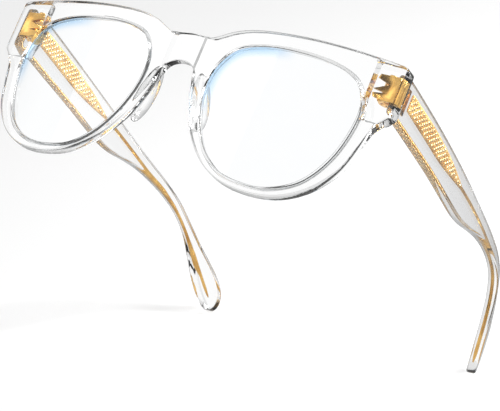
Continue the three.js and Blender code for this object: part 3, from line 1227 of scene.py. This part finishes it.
@dataclass
class Hinge:
    """The gold leaves and the screw of one hinge."""

    side: Side
    bevel: float = 0.1
    screw_bevel: float = 0.06
    screw_top: float = 25.1
    slot_width: float = 0.36
    slot_depth: float = 0.4

    def slot_cutter(self) -> bpy.types.Object:
        """The bar that cuts the slot in the screw's head.

        Returns:
            The bar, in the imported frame.
        """
        low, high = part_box(f"hinge_screw_{self.side.label}")
        top = PLACE.place(self.side.value * HINGE.x, HINGE.y, self.screw_top)
        axis = PLACE.turn @ Vector((0, 0, 1))
        across = PLACE.turn @ Vector((1, 0, 0))
        along = PLACE.turn @ Vector((0, 1, 0))
        half = ((high - low).x, self.slot_width / 2 * MM, self.slot_depth * MM)
        verts = [
            top + across * sx * half[0] + along * sy * half[1] + axis * sz * half[2]
            for sx in (-1, 1) for sy in (-1, 1) for sz in (-1, 1)
        ]
        faces = [(0, 1, 3, 2), (4, 6, 7, 5), (0, 4, 5, 1), (2, 3, 7, 6), (0, 2, 6, 4), (1, 5, 7, 3)]
        return mesh_object("slot_bar", verts, faces)

    def build(self) -> None:
        """Makes the three gold pieces."""
        label, gold = self.side.label, POLISHED_GOLD.material()
        front = refined(f"front_hinge_leaf_{label}", f"sunk_leaf_{label}", self.bevel)
        dress(front, gold, "gold", "front", f"front_hinge_leaf_{label}")
        temple = refined(f"temple_hinge_leaf_{label}", f"temple_leaf_{label}", self.bevel)
        dress(temple, gold, "gold", f"{label}_temple", f"temple_hinge_leaf_{label}")
        screw = refined(
            f"hinge_screw_{label}", f"slotted_screw_{label}", self.screw_bevel, self.slot_cutter(),
        )
        dress(screw, gold, "gold", "front", f"hinge_screw_{label}")


# ---- Stage --------------------------------------------------------------------------


@dataclass(frozen=True)
class Window:
    """A white screen in the slightly dimmer studio, as a range of directions in degrees.

    Azimuth counts from +Y towards -X, and elevation up from level.
    """

    azimuth: float
    half_width: float
    low: float = -32.0
    high: float = 27.0


@dataclass(frozen=True)
class SoftBox:
    """A square lamp that faces the spectacles."""

    name: str
    place: Point3
    width: float
    power: float
    shadows: bool = True


@dataclass
class Stage:
    """Camera, lights, world and the pale floor under the temple tips."""

    eye: Vector = field(default_factory=lambda: Vector((416.4, -602.5, -249.3)))
    azimuth: float = 31.738
    elevation: float = -17.204
    roll: float = 22.306
    lens: float = 180.0
    sensor: float = 36.0
    floor_point: Vector = field(default_factory=lambda: Vector((0.0, 79.7, 0.2)) * MM)
    floor_normal: Vector = field(default_factory=lambda: Vector((0.0, -0.634, 0.772)))
    floor_radius: float = 1.4
    floor_fade: Point2 = (0.25, 0.9)
    floor_glow: float = 0.06
    windows: tuple[Window, ...] = (
        Window(-31.0, 13.0), Window(0.0, 7.0), Window(44.0, 24.0), Window(90.0, 10.0), Window(149.0, 30.0),
        Window(-135.0, 12.0), Window(0.0, 181.0, 76.0, 91.0),
    )
    dimness: float = 0.8
    ambient: float = 0.45
    window_blur: float = 1.0
    boxes: tuple[SoftBox, ...] = (
        SoftBox("key", (0.51, -0.21, 0.77), 0.3, 6.0),
        SoftBox("glint", (0.62, 0.30, 0.62), 0.25, 5.0, False),
        SoftBox("fill", (-0.5, -0.75, 0.35), 0.5, 0.8, False),
    )

    def camera(self) -> None:
        """Sets the camera below and to the wearer's left of the front, rolled as it was held."""
        data = bpy.data.cameras.new("camera")
        data.lens, data.sensor_width = self.lens, self.sensor
        data.clip_start, data.clip_end = 0.01, 10.0
        made = bpy.data.objects.new("camera", data)
        bpy.context.scene.collection.objects.link(made)
        a, e, r = (math.radians(v) for v in (self.azimuth, self.elevation, self.roll))
        forward = Vector((-math.sin(a) * math.cos(e), math.cos(a) * math.cos(e), -math.sin(e)))
        level = forward.cross(Vector((0, 0, 1))).normalized()
        above = level.cross(forward)
        right = level * math.cos(r) + above * math.sin(r)
        up = right.cross(forward)
        turn = PLACE.turn @ Matrix((right, up, -forward)).transposed()
        made.matrix_world = Matrix.Translation(PLACE.place(*self.eye)) @ turn.to_4x4()
        bpy.context.scene.camera = made

    def within(self, sheet: NodeSheet, value: bpy.types.NodeSocket, low: float,
               high: float) -> bpy.types.NodeSocket:
        """A mask that is 1 where an angle lies in a range, with a soft border.

        Args:
            sheet: the world's nodes.
            value: the angle, in radians.
            low: the range's start, in degrees.
            high: the range's end, in degrees.

        Returns:
            The socket that gives the mask.
        """
        away = sheet.add("ShaderNodeMath", operation="SUBTRACT")
        size = sheet.add("ShaderNodeMath", operation="ABSOLUTE")
        mask = sheet.add("ShaderNodeMapRange")
        away.inputs[1].default_value = math.radians((low + high) / 2)
        mask.inputs["From Min"].default_value = math.radians((high - low) / 2 + self.window_blur)
        mask.inputs["From Max"].default_value = math.radians((high - low) / 2 - self.window_blur)
        sheet.join(value, away.inputs[0])
        sheet.join(away.outputs[0], size.inputs[0])
        sheet.join(size.outputs[0], mask.inputs["Value"])
        return mask.outputs["Result"]

    @staticmethod
    def combined(sheet: NodeSheet, operation: str, first: bpy.types.NodeSocket,
                 second: bpy.types.NodeSocket) -> bpy.types.NodeSocket:
        """Two values joined by a math node.

        Args:
            sheet: the world's nodes.
            operation: the node's operation.
            first: its first value.
            second: its second value.

        Returns:
            The socket that gives the result.
        """
        node = sheet.add("ShaderNodeMath", operation=operation)
        sheet.join(first, node.inputs[0])
        sheet.join(second, node.inputs[1])
        return node.outputs[0]

    def world(self) -> None:
        """An almost evenly white studio, so that clear things stay clear from every side."""
        world = bpy.data.worlds.new("studio")
        bpy.context.scene.world = world
        world.use_nodes = True
        world.node_tree.nodes.clear()
        sheet = NodeSheet(world.node_tree)
        aim = sheet.add("ShaderNodeSeparateXYZ")
        sheet.join(sheet.add("ShaderNodeTexCoord").outputs["Generated"], aim.inputs[0])
        flipped = sheet.add("ShaderNodeMath", operation="MULTIPLY")
        flipped.inputs[1].default_value = -1.0
        sheet.join(aim.outputs["X"], flipped.inputs[0])
        azimuth = self.combined(sheet, "ARCTAN2", flipped.outputs[0], aim.outputs["Y"])
        elevation = sheet.add("ShaderNodeMath", operation="ARCSINE")
        sheet.join(aim.outputs["Z"], elevation.inputs[0])
        path = sheet.add("ShaderNodeLightPath")
        bright = path.outputs["Is Camera Ray"]
        for window in self.windows:
            across = (window.azimuth - window.half_width, window.azimuth + window.half_width)
            mask = self.combined(
                sheet, "MULTIPLY", self.within(sheet, azimuth, *across),
                self.within(sheet, elevation.outputs[0], window.low, window.high),
            )
            bright = self.combined(sheet, "MAXIMUM", bright, mask)
        level = sheet.add("ShaderNodeMapRange")
        level.inputs["To Min"].default_value = self.dimness
        sheet.join(bright, level.inputs["Value"])
        back = sheet.add("ShaderNodeBackground")
        back.inputs["Color"].default_value = (1.0, 1.0, 1.0, 1.0)
        strength = sheet.add("ShaderNodeMix", data_type="FLOAT")
        strength.inputs["B"].default_value = self.ambient
        sheet.join(path.outputs["Is Diffuse Ray"], strength.inputs["Factor"])
        sheet.join(level.outputs["Result"], strength.inputs["A"])
        sheet.join(strength.outputs["Result"], back.inputs["Strength"])
        output = sheet.add("ShaderNodeOutputWorld")
        sheet.join(back.outputs[0], output.inputs["Surface"])

    def floor_material(self) -> bpy.types.Material:
        """Pale paper seen from above only, fading out towards its rim.

        Returns:
            The material.
        """
        made = bpy.data.materials.new("pale_paper")
        made.use_nodes = True
        made.node_tree.nodes.clear()
        sheet = NodeSheet(made.node_tree)
        paper = sheet.add("ShaderNodeBsdfPrincipled")
        paper.inputs["Base Color"].default_value = (0.86, 0.86, 0.86, 1.0)
        paper.inputs["Roughness"].default_value = 0.9
        paper.inputs["Specular IOR Level"].default_value = 0.0
        paper.inputs["Emission Color"].default_value = (1.0, 1.0, 1.0, 1.0)
        paper.inputs["Emission Strength"].default_value = self.floor_glow
        spot = sheet.add("ShaderNodeTexCoord")
        far = sheet.add("ShaderNodeVectorMath", operation="LENGTH")
        fade = sheet.add("ShaderNodeMapRange")
        fade.inputs["From Min"].default_value = self.floor_radius * self.floor_fade[0]
        fade.inputs["From Max"].default_value = self.floor_radius * self.floor_fade[1]
        behind = sheet.add("ShaderNodeNewGeometry")
        gone = sheet.add("ShaderNodeMath", operation="MAXIMUM")
        clear = sheet.add("ShaderNodeBsdfTransparent")
        mix = sheet.add("ShaderNodeMixShader")
        output = sheet.add("ShaderNodeOutputMaterial")
        sheet.join(spot.outputs["Object"], far.inputs[0])
        sheet.join(far.outputs["Value"], fade.inputs["Value"])
        sheet.join(fade.outputs["Result"], gone.inputs[0])
        sheet.join(behind.outputs["Backfacing"], gone.inputs[1])
        sheet.join(gone.outputs[0], mix.inputs["Fac"])
        sheet.join(paper.outputs["BSDF"], mix.inputs[1])
        sheet.join(clear.outputs["BSDF"], mix.inputs[2])
        sheet.join(mix.outputs["Shader"], output.inputs["Surface"])
        return made

    def floor(self) -> None:
        """Makes the floor, on which the temple tips stand with the front held up."""
        normal = self.floor_normal.normalized()
        across = Vector((1, 0, 0))
        along = normal.cross(across)
        sides = 64
        turns = [2 * math.pi * i / sides for i in range(sides)]
        verts = [
            self.floor_point + (across * math.cos(t) + along * math.sin(t)) * self.floor_radius
            for t in turns
        ]
        mesh = bpy.data.meshes.new("floor")
        mesh.from_pydata([tuple(v) for v in verts], [], [tuple(range(sides))])
        mesh.materials.append(self.floor_material())
        made = bpy.data.objects.new("floor", mesh)
        bpy.context.scene.collection.objects.link(made)
        made.visible_glossy = made.visible_transmission = False

    def lights(self) -> None:
        """Hangs the soft lamps."""
        for box in self.boxes:
            data = bpy.data.lights.new(box.name, "AREA")
            data.size, data.energy, data.use_shadow = box.width, box.power, box.shadows
            made = bpy.data.objects.new(box.name, data)
            bpy.context.scene.collection.objects.link(made)
            place = Vector(box.place)
            turn = place.to_track_quat("Z", "Y").to_matrix().to_4x4()
            made.matrix_world = Matrix.Translation(place) @ turn

    def build(self) -> None:
        """Sets the whole stage."""
        bpy.context.scene.view_settings.view_transform = "Standard"
        self.camera()
        self.world()
        self.floor()
        self.lights()


def main() -> None:
    """Builds the spectacles and their stage."""
    logging.basicConfig(level=logging.INFO, format="%(message)s")
    Front().build()
    for side in Side:
        Temple(side).build()
        Hinge(side).build()
    Stage().build()


if __name__ == "__main__":
    main()
